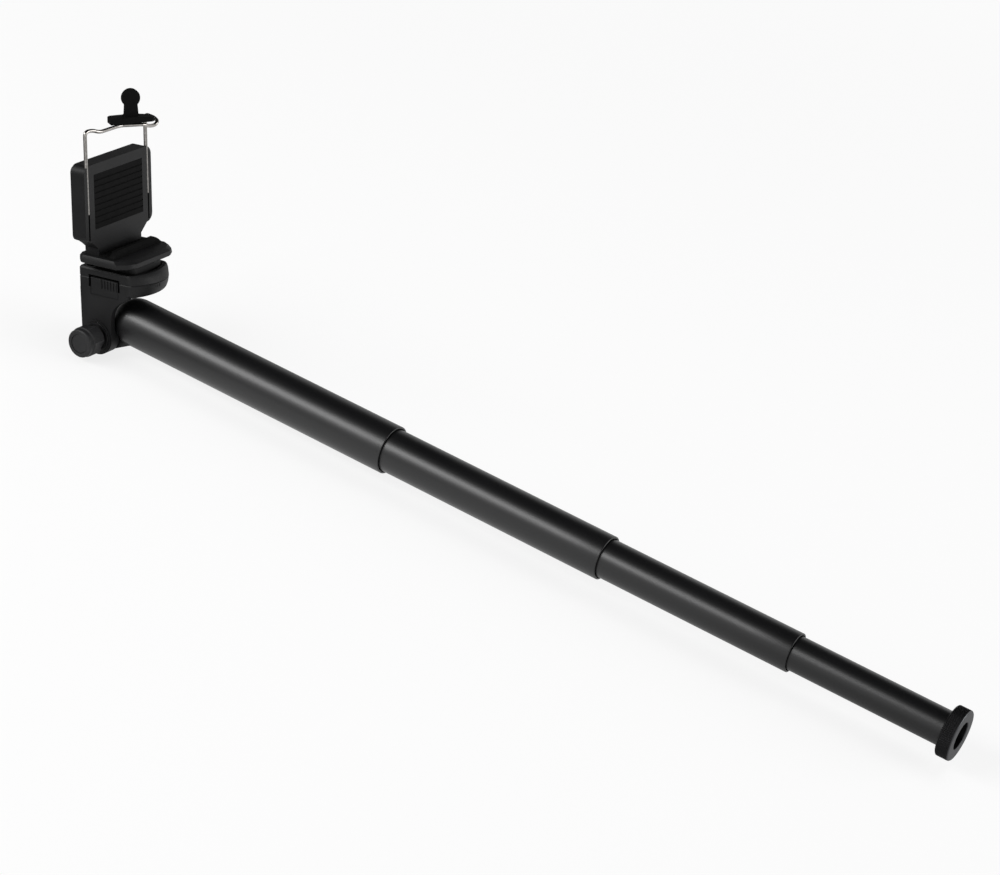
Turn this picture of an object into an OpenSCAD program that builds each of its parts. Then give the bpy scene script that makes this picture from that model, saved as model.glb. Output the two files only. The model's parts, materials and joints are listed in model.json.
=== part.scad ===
// Hand-held telescopic camera grip: four round tubes, a tilting head with a
// quick-release shoe, a spring-wire device clip and a round foot ring.
// The tubes lie along X, the foot ring faces +X and its front face is at x = 0.

/* [Tubes] */
// Outer diameter of the first and widest tube
tube_1_od = 28; // [26:0.5:32]
// Step in outer diameter from one tube to the next
tube_step = 3; // [2.6:0.1:3.4]
// Wall of every tube
tube_wall = 1; // [0.8:0.05:1.2]
// Length of the first tube
tube_1_len = 173.2; // [165:0.1:260]
// Length of the second tube that shows
show_2 = 140.3; // [60:0.1:146]
// Length of the third tube that shows
show_3 = 114.9; // [50:0.1:120]
// Length of the fourth tube that shows
show_4 = 87.6; // [40:0.1:92]
// Depth of the guide lip behind each tube mouth
lip_depth = 1.5; // [1:0.1:2]
// Length of the guide lip
lip_len = 4; // [3:0.1:6]
// Running clearance of a tube in its guide lip
lip_gap = 0.06; // [0.03:0.01:0.1]
// Rounding of the tube mouths
mouth_r = 0.45; // [0.2:0.05:0.7]

/* [Twist locks] */
// Length of each split collet
collet_len = 14; // [10:0.5:18]
// Width of the split in a collet
collet_split = 2; // [1:0.1:3]
// Running clearance of a collet in its tube
collet_gap = 0.06; // [0.03:0.01:0.1]
// Depth of the journal that carries a collet, below the tube surface
journal_drop = 3.5; // [3:0.1:4]
// Thickness of the flange between tube and collet
flange_t = 1.5; // [1:0.1:3]
// Thickness of the end disc behind the collet
disc_t = 2; // [1.5:0.1:3]
// Depth of the spigots pressed into tube ends
spigot_len = 5; // [4:0.5:6]
// Distance from the guide lip to the flange when drawn out
stop_gap = 1; // [0.5:0.1:2]

/* [Foot ring] */
// Outer diameter of the foot ring
ring_od = 28; // [26:0.5:34]
// Thickness of the foot ring
ring_t = 7.5; // [6:0.1:10]
// Radius of the hole in the foot ring
ring_hole_r = 7.6; // [6:0.1:7.7]
// Length of the ring's spigot in the last tube
ring_spigot = 14; // [8:0.5:18]
// Edge chamfer of the ring
ring_chamfer = 0.7; // [0.3:0.1:1.2]

/* [Neck and tilt joint] */
// Distance from the tilt axis to the start of the first tube
neck_len = 22; // [20:0.5:30]
// Distance of the tilt axis below the tube axis
tilt_drop = 9.83; // [9:0.01:11]
// Width of the neck's lug
lug_w = 19; // [17:0.5:20]
// Radius of the neck's lug
lug_r = 10.2; // [9:0.1:10.5]
// Radius of the arm's boss
boss_r = 10.8; // [10.6:0.1:11.5]
// Radius of the clamp screw
screw_r = 3; // [2.5:0.1:3.5]
// Running clearance of shafts in their bores
run_gap = 0.05; // [0.02:0.01:0.1]
// Clearance between faces that slide past each other
face_gap = 0.1; // [0.08:0.01:0.2]
// Thickness of the tilt washer
washer_t = 0.7; // [0.5:0.05:0.8]
// Width across the flats of the tilt nut
nut_af = 10; // [9:0.5:11]
// Thickness of the tilt nut
nut_t = 5; // [4:0.5:6]
// Angle between platform and tubes
rest_tilt = 12.13; // [-12:0.01:40]

/* [Head] */
// Half width of the platform
plat_hw = 17.6; // [17.2:0.1:20]
// Back face of the platform
plat_back = -11.7; // [-14:0.1:-11.5]
// Front of the platform at the seam
plat_front = 33.5; // [32:0.1:36]
// Front of the platform at its lower edge
plat_low_front = 30.3; // [29:0.1:31]
// Front of the platform half way up its lower ring
plat_mid_front = 32.4; // [31.5:0.1:33]
// Radius of the nose at the seam
nose_r = 22; // [21:0.5:24]
// Radius of the nose at the platform's lower and upper edges
nose_edge_r = 26.7; // [25:0.1:28]
// Height of the platform's lower edge above the tilt axis
plat_z0 = 27.5; // [27:0.1:29]
// Height of the lower platform ring
ring_low_h = 7.4; // [7:0.1:9]
// Height of the upper platform ring
ring_top_h = 5.9; // [5.4:0.1:8]
// Width of the platform's rim
rim_w = 2.8; // [2:0.1:3.2]
// Depth of the dish inside the rim
dish_d = 2.2; // [1.5:0.1:2.6]
// Corner radius of the platform
corner_r = 5; // [3:0.1:6]
// Thickness of the arm's post
post_t = 7.8; // [7:0.1:7.8]
// Thickness of the arm's side plate
plate_t = 3.3; // [2.5:0.1:3.3]

/* [Release lever] */
// Left end of the lever window
win_x0 = -4.6; // [-6:0.1:-3]
// Right end of the lever window
win_x1 = 17.9; // [16:0.1:18.5]
// Gap at the sides of the lever
win_gap = 1.5; // [1:0.1:2]
// Depth of the lever window
win_d = 4.2; // [3.9:0.1:4.4]
// Radius of the lever pin
pin_r = 1; // [0.8:0.05:1.1]
// Thickness of the lever's plate
lever_t = 2.6; // [2:0.1:2.8]
// Number of thumb ribs on the lever
lever_ribs = 6; // [4:1:8]

/* [Knob] */
// Radius of the knob's grip
knob_r = 8.9; // [8.6:0.1:11]
// Radius of the knob's end drum
drum_r = 8.3; // [7.5:0.1:9]
// Length of the end drum
drum_l = 3.3; // [2:0.1:5]
// Length of the knob's grip
grip_l = 9.5; // [7:0.1:14]
// Length of the knob's neck
knob_neck_l = 1.8; // [1:0.1:4]
// Number of finger scoops round the grip
scoops = 3; // [2:1:5]
// Radius of a finger scoop
scoop_r = 12; // [6:0.5:16]
// Depth of a finger scoop
scoop_d = 2.1; // [1:0.1:2.1]
// Radius of the cap in the end of the knob
cap_r = 5.6; // [4:0.1:6.5]

/* [Shoe] */
// Length of the shoe
shoe_x = 26.4; // [24:0.1:27]
// Width of the shoe
shoe_y = 23.4; // [22:0.1:23.8]
// Side clearance of the shoe in its pocket
shoe_gap = 0.3; // [0.2:0.05:0.5]
// Distance of the camera screw in front of the tilt axis
screw_x = 9.9; // [9:0.1:11]
// Radius of the camera screw
cam_r = 3.175; // [3.1:0.005:3.2]
// Radius of the camera screw's head
cam_head_r = 7; // [6:0.1:8]
// Thickness of the shoe's pad
pad_t = 1; // [0.6:0.1:1.4]

/* [Device clip] */
// Height of the clip's base above the tilt axis
base_z0 = 45.5; // [45:0.1:47]
// Thickness of the clip's base
base_t = 4.5; // [4:0.1:6]
// Half width of the clip's base
base_hw = 24; // [22:0.1:27]
// Front of the clip's base
base_x1 = 29.2; // [26:0.1:32]
// Back of the clip's base
base_x0 = -8.5; // [-12:0.1:-8]
// Corner cut of the clip's base
base_cut = 8; // [5:0.1:10]
// Thickness of the device that the clip holds
device_t = 8.6; // [8:0.1:12]
// Height of the device in the clip
device_h = 69.2; // [60:0.1:72]
// Front face of the clip's back
back_x = 4.9; // [4:0.1:6]
// Height of the clip's back
back_h = 54; // [46:0.5:56]
// Thickness of the clip's back
back_t = 10.9; // [9:0.1:12]
// Distance of the rear cover from the wire's legs
cover_side = 4; // [4:0.1:6]
// Height of the rear cover above the base
cover_low = 12; // [11:0.5:14]
// Distance of the rear cover below the top of the back
cover_top = 6; // [5:0.5:8]
// Margin between the cover's edge and its screws
cover_screw_in = 3; // [2.5:0.1:4]
// Margin of the recess in the cover
cover_recess = 8; // [6:0.5:10]
// Thickness of the rear cover
cover_t = 1.6; // [1.4:0.1:2]
// Length of a cover screw
cover_screw_l = 5; // [4:0.1:6]
// Distance of the back's pad from the wire's legs
pad_side = 5; // [4:0.1:8]
// Lower edge of the front pad above the base plate
pad_low = 16; // [14:0.5:20]
// Upper edge of the front pad below the top of the back
pad_top = 6; // [5:0.5:10]
// Lower end of the wire's guides above the base plate
guide_low = 10.5; // [9:0.5:11]
// Height of the front lip over the base
lip_h = 4.2; // [3:0.1:5]
// Thickness of the front lip
lip_t = 3.8; // [3:0.1:6]
// Half length of the front lip
lip_hw = 21; // [16:0.1:22]
// Radius of the bail's wire
wire_r = 1.1; // [0.9:0.05:1.2]
// Distance between the bail's legs
leg_span = 52.6; // [48:0.1:56]
// Length of leg inside the clip's back
leg_in = 28; // [22:0.5:34]
// Length of the grip block on the bail
jaw_l = 26.4; // [20:0.1:30]
// Depth of the grip block
jaw_w = 8.6; // [7:0.1:11]
// Height of the grip block
jaw_h = 3.6; // [3:0.1:5]
// Width of the pull tab's stem
tab_w = 8.8; // [7:0.1:10]
// Thickness of the pull tab
tab_t = 2.8; // [2:0.1:3.5]
// Radius of the pull tab's round head
tab_r = 5.3; // [5:0.1:7]
// Height of the tab's head centre above the grip block
tab_h = 10.3; // [9:0.1:14]
// Turn of the grip block about the vertical
jaw_turn = 33; // [25:1:40]

/* [Hidden] */
$fn = 72;

// Colours
anodised = [0.07, 0.07, 0.075];
moulded = [0.16, 0.16, 0.17];
rubber = [0.09, 0.09, 0.09];
steel = [0.72, 0.72, 0.74];
chrome = [0.85, 0.86, 0.88];

// Clearance of pieces pressed together
press = 0.02;

// Stations along the tubes
mouth_3 = -ring_t - show_4;
mouth_2 = mouth_3 - show_3;
mouth_1 = mouth_2 - show_2;
tube_in = lip_depth + lip_len + stop_gap;
tube_1_x0 = mouth_1 - tube_1_len;
tilt_x = tube_1_x0 - neck_len;
tilt_z = -tilt_drop;
function mouth(k) = k == 1 ? mouth_1 : k == 2 ? mouth_2 : mouth_3;
function tube_ro(k) = (tube_1_od - (k - 1) * tube_step) / 2;
function tube_ri(k) = tube_ro(k) - tube_wall;

// Heights and faces of the head, from the tilt axis
seam_z = plat_z0 + ring_low_h;
rim_z = seam_z + ring_top_h;
dish_z = rim_z - dish_d;
face_y = -plat_hw;
arm_in = -lug_w / 2 - 0.3;
boss_in = -lug_w / 2 - washer_t - 2 * face_gap;
post_y = face_y + post_t > arm_in ? arm_in : face_y + post_t;
pocket_z = plat_z0 + 2.5;
pin_y = face_y + 1.7;
pin_z = plat_z0 - 1.5;
lever_end_r = 1.7;
lever_top = seam_z + 0.5;
wall_y = -shoe_y / 2 - shoe_gap;

// Heights of the shoe and clip
shoe_z0 = pocket_z + 0.2;
shoe_z1 = base_z0 - face_gap - pad_t;
plate_z = dish_z + 0.3;
head_t = 5;
head_z = shoe_z0 + 1;
base_z1 = base_z0 + base_t;
pad_z = base_z1 + 0.6;
device_x0 = back_x + 0.1;
device_x1 = device_x0 + device_t;
device_z = pad_z + device_h;
back_z = base_z1 + back_h;
leg_x = back_x - 1;
leg_y = leg_span / 2;
leg_z0 = back_z - leg_in;
cover_y = leg_y - cover_side;
cover_z0 = base_z1 + cover_low;
cover_z1 = back_z - cover_top;
cover_screw_at = [for (s = [-1, 1]) for (z = [cover_z0 + cover_screw_in, cover_z1 - cover_screw_in])
    [s * (cover_y - cover_screw_in), z]];

module along_x() { rotate([0, 90, 0]) children(); }
// Stands an XZ profile up and centres its thickness w on y
module slab_y(y0, y1) { translate([0, y1, 0]) rotate([90, 0, 0]) linear_extrude(y1 - y0) children(); }
module in_head() { translate([tilt_x, 0, tilt_z]) rotate([0, -rest_tilt, 0]) children(); }
module hole_y(r, y0, y1) { translate([0, y1, 0]) rotate([90, 0, 0]) cylinder(r = r, h = y1 - y0); }

// Two circles with their outer tangents
module link2d(c1, r1, c2, r2) {
    d = c2 - c1;
    a = atan2(d[1], d[0]);
    b = acos((r1 - r2) / norm(d));
    u = [cos(a + b), sin(a + b)];
    v = [cos(a - b), sin(a - b)];
    translate(c1) circle(r1);
    translate(c2) circle(r2);
    polygon([c1 + r1 * v, c2 + r2 * v, c2 + r2 * u, c1 + r1 * u]);
}

// Tubes
module tube_body(k, x0) {
    x1 = mouth(k);
    ro = tube_ro(k);
    ri = tube_ri(k);
    rl = tube_ro(k + 1) + lip_gap;
    l1 = x1 - lip_depth;
    l0 = l1 - lip_len;
    along_x() rotate_extrude() polygon([[ri, x0], [ro, x0], [ro, x1 - mouth_r],
        [ro - mouth_r * 0.3, x1 - mouth_r * 0.3], [ro - mouth_r, x1], [ri, x1], [ri, l1],
        [rl, l1], [rl, l0], [ri, l0 - (ri - rl)]]);
}
module tube_1() { color(anodised) tube_body(1, tube_1_x0); }
module tube_2() { color(anodised) tube_body(2, mouth_1 - tube_in); }
module tube_3() { color(anodised) tube_body(3, mouth_2 - tube_in); }
module tube_4() {
    color(anodised) along_x() rotate_extrude()
        polygon([[tube_ri(4), mouth_3 - tube_in], [tube_ro(4), mouth_3 - tube_in],
            [tube_ro(4), -ring_t], [tube_ri(4), -ring_t]]);
}

// Twist locks: a plug in the end of tube k carries a split collet
module plug(k) {
    x2 = mouth(k - 1) - tube_in;
    x1 = x2 - flange_t;
    x0 = x1 - collet_len - 4 * face_gap;
    rj = tube_ro(k) - journal_drop;
    color(moulded) along_x() rotate_extrude() polygon([[0, x0 - disc_t],
        [tube_ro(k) - 0.6, x0 - disc_t], [tube_ro(k), x0 - disc_t + 0.6], [tube_ro(k), x0],
        [rj, x0], [rj, x1], [tube_ro(k), x1], [tube_ro(k), x2], [tube_ri(k) - press, x2],
        [tube_ri(k) - press, x2 + spigot_len - 0.5], [tube_ri(k) - 0.5, x2 + spigot_len],
        [0, x2 + spigot_len]]);
}
module collet(k) {
    x1 = mouth(k - 1) - tube_in - flange_t - 2 * face_gap;
    x0 = x1 - collet_len;
    rj = tube_ro(k) - journal_drop + run_gap;
    rc = tube_ri(k - 1) - collet_gap;
    color(steel * 0.6) difference() {
        along_x() rotate_extrude() polygon([[rj, x0], [rc - 0.5, x0], [rc, x0 + 0.5],
            [rc, x0 + collet_len * 0.3], [rc - 0.5, x0 + collet_len * 0.3],
            [rc - 0.5, x0 + collet_len * 0.4], [rc, x0 + collet_len * 0.4],
            [rc, x0 + collet_len * 0.6], [rc - 0.5, x0 + collet_len * 0.6],
            [rc - 0.5, x0 + collet_len * 0.7], [rc, x0 + collet_len * 0.7],
            [rc, x1 - 0.5], [rc - 0.5, x1], [rj, x1]]);
        translate([x0 - 1, -collet_split / 2, 0]) cube([collet_len + 2, collet_split, rc + 1]);
    }
}
module collet_2() { collet(2); }
module collet_3() { collet(3); }
module collet_4() { collet(4); }
module plug_2() { plug(2); }
module plug_3() { plug(3); }
module plug_4() { plug(4); }

module foot_ring() {
    rs = tube_ri(4) - press;
    ro = ring_od / 2;
    color(anodised * 1.8) along_x() rotate_extrude() polygon([[ring_hole_r, -ring_t - ring_spigot],
        [rs - 0.4, -ring_t - ring_spigot], [rs, -ring_t - ring_spigot + 0.4], [rs, -ring_t],
        [ro - ring_chamfer, -ring_t], [ro, -ring_t + ring_chamfer], [ro, -ring_chamfer],
        [ro - ring_chamfer, 0], [ring_hole_r + 0.4, 0], [ring_hole_r, -0.4]]);
}

// Neck: domed end of the first tube with the lug of the tilt joint
module neck() {
    r = tube_ro(1);
    dome_x = tilt_x + r;
    color(moulded) difference() {
        union() {
            translate([dome_x, 0, 0]) intersection() {
                sphere(r = r, $fn = 96);
                translate([-2 * r, -2 * r, -2 * r]) cube([2 * r, 4 * r, 4 * r]);
            }
            translate([dome_x, 0, 0]) along_x() cylinder(r = r, h = tube_1_x0 - dome_x, $fn = 96);
            translate([tube_1_x0 - 1, 0, 0]) along_x()
                cylinder(r = tube_ri(1) - press, h = 1 + spigot_len + 1);
            translate([tilt_x, 0, 0]) slab_y(-lug_w / 2, lug_w / 2)
                link2d([0, tilt_z], lug_r, [r + 2, -2], 8.3);
        }
        // Room for the arm's boss
        translate([tilt_x, 0, tilt_z]) hole_y(boss_r + 0.4, -r - 5, -lug_w / 2);
        // Screw bore and nut seat
        translate([tilt_x, 0, tilt_z]) hole_y(screw_r + run_gap, -lug_w / 2 - 1, lug_w / 2 + 1);
        translate([tilt_x, 0, tilt_z]) slab_y(lug_w / 2 - nut_t, lug_w / 2 + 1)
            circle(r = nut_af / sqrt(3) + press, $fn = 6);
        translate([tilt_x, 0, tilt_z]) hole_y(nut_af * 0.8, lug_w / 2, r + 2);
    }
}
module tilt_nut() {
    color(steel) translate([tilt_x, 0, tilt_z]) difference() {
        slab_y(lug_w / 2 - nut_t + press, lug_w / 2) circle(r = nut_af / sqrt(3), $fn = 6);
        hole_y(screw_r + run_gap, lug_w / 2 - nut_t - 1, lug_w / 2 + 1);
    }
}

// Head
// Outline of the platform: flat back, bulged front, round corners
function nose_c(xf, rn) = xf - rn;
function d_pts(xb, xf, rn, hw, rc, rb, n = 10) =
    let (xc = xf - rn, cy = hw - rc, cx = xc + sqrt(pow(rn - rc, 2) - cy * cy), a0 = atan2(cy, cx - xc))
    concat([for (i = [0:n]) let (a = -90 + (90 - a0) * i / n) [cx + rc * cos(a), -cy + rc * sin(a)]],
        [for (i = [1:2 * n - 1]) let (a = -a0 + a0 * i / n) [xc + rn * cos(a), rn * sin(a)]],
        [for (i = [0:n]) let (a = a0 + (90 - a0) * i / n) [cx + rc * cos(a), cy + rc * sin(a)]],
        [for (i = [0:4]) let (a = 90 + 22.5 * i) [xb + rb + rb * cos(a), hw - rb + rb * sin(a)]],
        [for (i = [0:4]) let (a = 180 + 22.5 * i) [xb + rb + rb * cos(a), -hw + rb + rb * sin(a)]]);
module d_slice(z, inset, front_in, rn) {
    translate([0, 0, z]) linear_extrude(0.01)
        polygon(d_pts(plat_back + inset, plat_front - front_in, rn, plat_hw - inset, corner_r, 1.5));
}
module d_slab(z0, z1, inset, front_in, rn) {
    translate([0, 0, z0]) linear_extrude(z1 - z0)
        polygon(d_pts(plat_back + inset, plat_front - front_in, rn, plat_hw - inset, corner_r - 2, 1));
}
// Side view of the arm: boss, post and the swept front edge
module arm2d() {
    w = boss_r;
    n = 8;
    rs = 9;
    top = plat_z0 + 0.5;
    circle(w);
    polygon(concat([[-w, 0], [w, 0]],
        [for (i = [0:n]) let (a = 45 * i / n) [w + rs - rs * cos(a), w - 0.6 + rs * sin(a)]],
        [[w + rs * (1 - cos(45)) + top - (w - 0.6 + rs * sin(45)), top], [plat_back, top]]));
}
module shoe_pocket(z0, z1) {
    translate([screw_x - shoe_x / 2 - shoe_gap, wall_y, z0])
        cube([shoe_x + 2 * shoe_gap, -2 * wall_y, z1 - z0]);
}
module window(z1) {
    z0 = pin_z - lever_end_r - 0.3;
    zs = plat_z0 + 2.1;
    // The lower part of the window fits the lever closely, the upper part is open at its sides
    translate([win_x0 + win_gap - 0.3, face_y - 2, z0])
        cube([win_x1 - win_x0 - 2 * win_gap + 0.6, win_d + 2, zs - z0 + 0.01]);
    translate([win_x0, face_y - 2, zs]) cube([win_x1 - win_x0, win_d + 2, z1 - zs]);
}
screw_at = [[plat_back + 5.6, -8.5], [plat_back + 5.6, 8.5], [plat_front - 7.7, 0]];

module head_body() {
    color(moulded) in_head() difference() {
        union() {
            hull() {
                d_slice(plat_z0, 0.3, plat_front - plat_low_front, nose_edge_r);
                d_slice(plat_z0 + 0.5, 0, plat_front - plat_low_front - 0.5, nose_edge_r - 0.5);
                d_slice(plat_z0 + ring_low_h * 0.47, 0, plat_front - plat_mid_front, nose_r + 2);
                d_slice(seam_z - 0.4, 0, 0, nose_r);
                d_slice(seam_z - 0.01, 0.3, 0.3, nose_r);
            }
            slab_y(face_y, face_y + plate_t) arm2d();
            intersection() {
                slab_y(face_y, post_y) arm2d();
                translate([plat_back - 1, -plat_hw - 1, 0])
                    cube([-plat_back + 0.5, 2 * plat_hw, plat_z0 + 0.5]);
            }
            hole_y(boss_r, face_y, boss_in);
            // Ring on the arm that the knob's washer sits in
            hole_y(boss_r - 0.7, face_y - 0.7, face_y + 1);
            // Thicker wall behind the lever
            translate([win_x0 - 2, face_y + 1, plat_z0 - 5]) cube([win_x1 - win_x0 + 4, win_d, 6]);
        }
        // Washer seats inside and outside
        hole_y(boss_r + 0.2, boss_in, arm_in + 10);
        hole_y(boss_r - 1.9, face_y - 2, face_y);
        hole_y(screw_r + run_gap, face_y - 1, boss_in + 1);
        shoe_pocket(pocket_z, seam_z + 1);
        window(seam_z + 1);
        // Slot for the latch nose
        translate([5, face_y + win_d - 0.5, pin_z + 5.3]) cube([3.8, 3, 3]);
        // Pin bore, from the arm's front edge
        translate([win_x0 - 3.5, pin_y, pin_z]) along_x()
            cylinder(r = pin_r + press, h = plat_front - win_x0 + 3.5, $fn = 32);
        // Grooves on the nose
        for (y = [-0.8, -2.4, -3.7, -5]) translate([plat_front - 0.9, y, plat_z0 - 1])
            cube([3, y > -1 ? 0.8 : 0.35, ring_low_h + 0.2]);
        for (p = screw_at) translate([p[0], p[1], seam_z - 4]) cylinder(r = 1 + press, h = 5, $fn = 24);
    }
}
module platform_top() {
    color(moulded) in_head() difference() {
        hull() {
            d_slice(seam_z + 0.04, 0.3, 0.3, nose_r);
            d_slice(seam_z + 0.4, 0, 0, nose_r);
            d_slice(rim_z - 2.6, 0, 1, nose_r + 2);
            d_slice(rim_z - 0.9, 0, 2.1, nose_r + 3.5);
            d_slice(rim_z - 0.01, 0.6, 3, nose_edge_r);
        }
        d_slab(dish_z, rim_z + 1, rim_w, rim_w + 2.4, nose_r + 2);
        shoe_pocket(seam_z - 1, rim_z);
        window(seam_z + 2);
        for (p = screw_at) translate([p[0], p[1], seam_z - 1]) {
            cylinder(r = 1 + press, h = 9, $fn = 24);
            translate([0, 0, dish_z - seam_z - 0.3]) cylinder(r = 1.9, h = 5, $fn = 32);
        }
    }
}
module platform_screws() {
    color(steel) in_head() for (p = screw_at) translate([p[0], p[1], seam_z - 3.8]) difference() {
        union() {
            cylinder(r = 1, h = dish_z - seam_z + 3, $fn = 24);
            translate([0, 0, dish_z - seam_z + 2.5]) cylinder(r = 1.85, h = 1.2, $fn = 32);
        }
        translate([-1.4, -0.25, dish_z - seam_z + 3.2]) cube([2.8, 0.5, 1]);
        translate([-0.25, -1.4, dish_z - seam_z + 3.2]) cube([0.5, 2.8, 1]);
    }
}
module lever_pin() {
    color(steel) in_head() translate([win_x0 - 3.4, pin_y, pin_z]) along_x()
        cylinder(r = pin_r, h = win_x1 - win_x0 + 6.4, $fn = 32);
}
module release_lever() {
    x0 = win_x0 + win_gap;
    w = win_x1 - win_x0 - 2 * win_gap;
    y0 = face_y;
    color(moulded * 1.2) in_head() difference() {
        union() {
            translate([x0, y0, pin_z]) cube([w, lever_t, lever_top - pin_z]);
            translate([x0, pin_y, pin_z]) along_x() cylinder(r = lever_end_r, h = w, $fn = 48);
            // Latch nose
            translate([5.4, y0 + lever_t - 0.5, pin_z + 5.6])
                cube([3, -shoe_y / 2 - 0.15 - y0 - lever_t + 0.5, 1.6]);
            // Thumb ribs
            for (i = [0:lever_ribs - 1])
                translate([x0 + w * 0.4 + i * w * 0.55 / (lever_ribs - 1), y0, plat_z0 + 2.6])
                    cylinder(r = 0.45, h = lever_top - plat_z0 - 3.2, $fn = 16);
        }
        translate([x0 - 1, pin_y, pin_z]) along_x() cylinder(r = pin_r + run_gap, h = w + 2, $fn = 32);
    }
}
module tilt_washer() {
    color(rubber * 2) in_head() difference() {
        hole_y(lug_r - 0.7, boss_in + face_gap, boss_in + face_gap + washer_t);
        hole_y(screw_r + run_gap, boss_in - 1, boss_in + 3);
    }
}

// Knob
knob_y0 = face_y - face_gap - 1;
knob_y1 = knob_y0 - face_gap - knob_neck_l;
knob_y2 = knob_y1 - grip_l;
knob_y3 = knob_y2 - drum_l;
module knob_washer() {
    color(anodised * 2) in_head() difference() {
        hole_y(boss_r - 2.1, knob_y0, face_y - face_gap);
        hole_y(screw_r + run_gap, knob_y0 - 1, face_y + 1);
    }
}
module knob() {
    color(moulded * 1.3) in_head() difference() {
        rotate([90, 0, 0]) rotate_extrude() polygon([[0, -knob_y0 + face_gap], [6.6, -knob_y0 + face_gap],
            [6.6, -knob_y1], [knob_r - 0.8, -knob_y1 + 0.2], [knob_r, -knob_y1 + 1],
            [knob_r, -knob_y2 - 0.6], [knob_r - 0.5, -knob_y2], [drum_r, -knob_y2],
            [drum_r, -knob_y3 - 0.7], [drum_r - 0.7, -knob_y3], [0, -knob_y3]]);
        for (i = [0:scoops - 1]) rotate([0, -95 + i * 360 / scoops, 0])
            translate([knob_r - scoop_d + scoop_r, 0, 0]) hole_y(scoop_r, knob_y2 + 0.8, knob_y1 + 0.5);
        hole_y(screw_r + press, knob_y2 - 0.5, 0);
        hole_y(cap_r + press, knob_y3 - 1, knob_y3 + 1.2);
    }
}
module knob_cap() {
    color(moulded * 1.5) in_head() rotate([90, 0, 0]) rotate_extrude() polygon([[0, -knob_y3 - 1.2],
        [cap_r, -knob_y3 - 1.2], [cap_r, -knob_y3 - 0.5], [cap_r - 0.3, -knob_y3 - 0.2], [0, -knob_y3 - 0.2]]);
}
module clamp_screw() {
    color(steel) in_head() hole_y(screw_r, knob_y2 - 0.4, lug_w / 2 - 0.2);
}

// Quick-release shoe
module rounded_plate(x0, x1, hw, r, z0, z1) {
    translate([x0 + r, -hw, z0]) cube([x1 - x0 - 2 * r, 2 * hw, z1 - z0]);
    translate([x0, -hw + r, z0]) cube([x1 - x0, 2 * hw - 2 * r, z1 - z0]);
    for (x = [x0 + r, x1 - r]) for (y = [-hw + r, hw - r]) translate([x, y, z0])
        cylinder(r = r, h = z1 - z0, $fn = 40);
}
module shoe() {
    color(moulded) in_head() difference() {
        union() {
            rounded_plate(screw_x - shoe_x / 2, screw_x + shoe_x / 2, shoe_y / 2, 1.5, shoe_z0, plate_z + 1);
            rounded_plate(screw_x - shoe_x / 2 - 1.8, screw_x + shoe_x / 2 + 1.8, shoe_y / 2 + 1.3, 3,
                plate_z, shoe_z1);
        }
        translate([screw_x, 0, shoe_z0 - 1])
            cylinder(r = cam_head_r + 0.4, h = head_z + head_t + face_gap - shoe_z0 + 1);
        translate([screw_x, 0, shoe_z0]) cylinder(r = cam_r + run_gap, h = shoe_z1 - shoe_z0 + 1);
    }
}
module shoe_pad() {
    color(rubber) in_head() difference() {
        rounded_plate(screw_x - shoe_x / 2 - 0.8, screw_x + shoe_x / 2 + 0.8, shoe_y / 2 + 0.3, 3,
            shoe_z1, shoe_z1 + pad_t);
        translate([screw_x, 0, shoe_z1 - 1]) cylinder(r = cam_r + 0.6, h = pad_t + 2);
    }
}
module camera_screw() {
    color(steel) in_head() translate([screw_x, 0, 0]) difference() {
        union() {
            translate([0, 0, head_z]) cylinder(r = cam_head_r, h = head_t);
            translate([0, 0, head_z]) cylinder(r = cam_r, h = base_z1 - 0.7 - head_z);
        }
        translate([-cam_head_r - 1, -0.8, head_z - 1]) cube([2 * cam_head_r + 2, 1.6, 2.6]);
    }
}

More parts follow.
